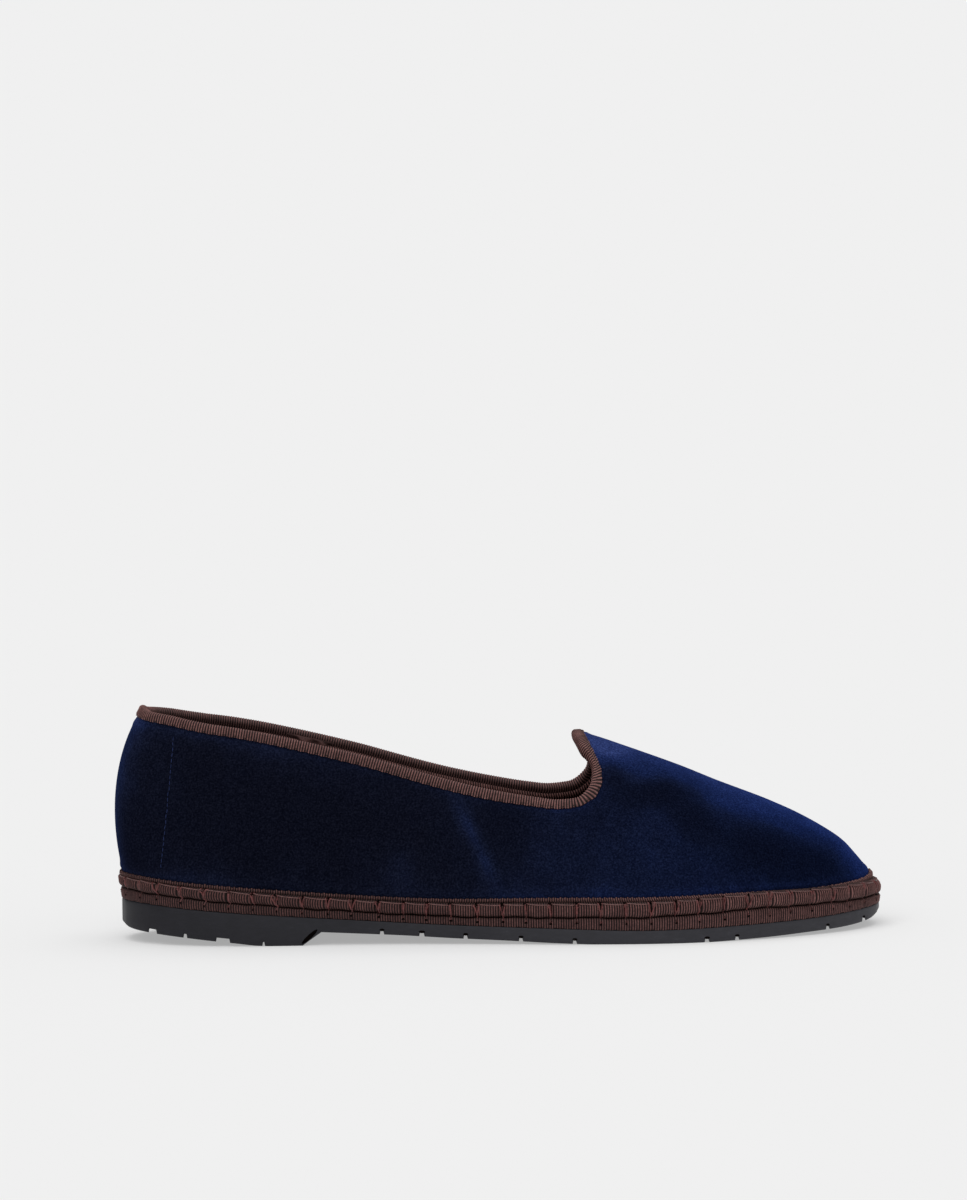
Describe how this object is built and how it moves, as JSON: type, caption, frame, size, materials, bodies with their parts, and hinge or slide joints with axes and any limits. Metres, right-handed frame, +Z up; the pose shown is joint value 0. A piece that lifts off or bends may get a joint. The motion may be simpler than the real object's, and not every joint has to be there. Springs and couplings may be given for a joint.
{
  "type": "velvet slipper loafer",
  "caption": "Right velvet slipper loafer: hollow low-cut upper with a notched throat, taped collar, rolled foxing, wrapped midsole and a heeled rubber sole.",
  "frame": {"origin": "under the middle of the shoe's bounds, on the plane that it stands on", "axes": "+X towards the toe, +Z up, -Y the outer (lateral) side of this right shoe"},
  "size_m": [0.285, 0.0966, 0.0857],
  "materials": {
    "velvet": "soft pile velvet, navy",
    "grosgrain": "ribbed woven tape, dark brown",
    "rubber": "matt moulded rubber, near black",
    "sock": "matt dark brown lining"
  },
  "bodies": {
    "root": {"outsole": "rubber", "midsole": "grosgrain", "foxing": "grosgrain", "insole": "sock", "upper": "velvet", "collar_binding": "grosgrain"}
  },
  "joints": []
}
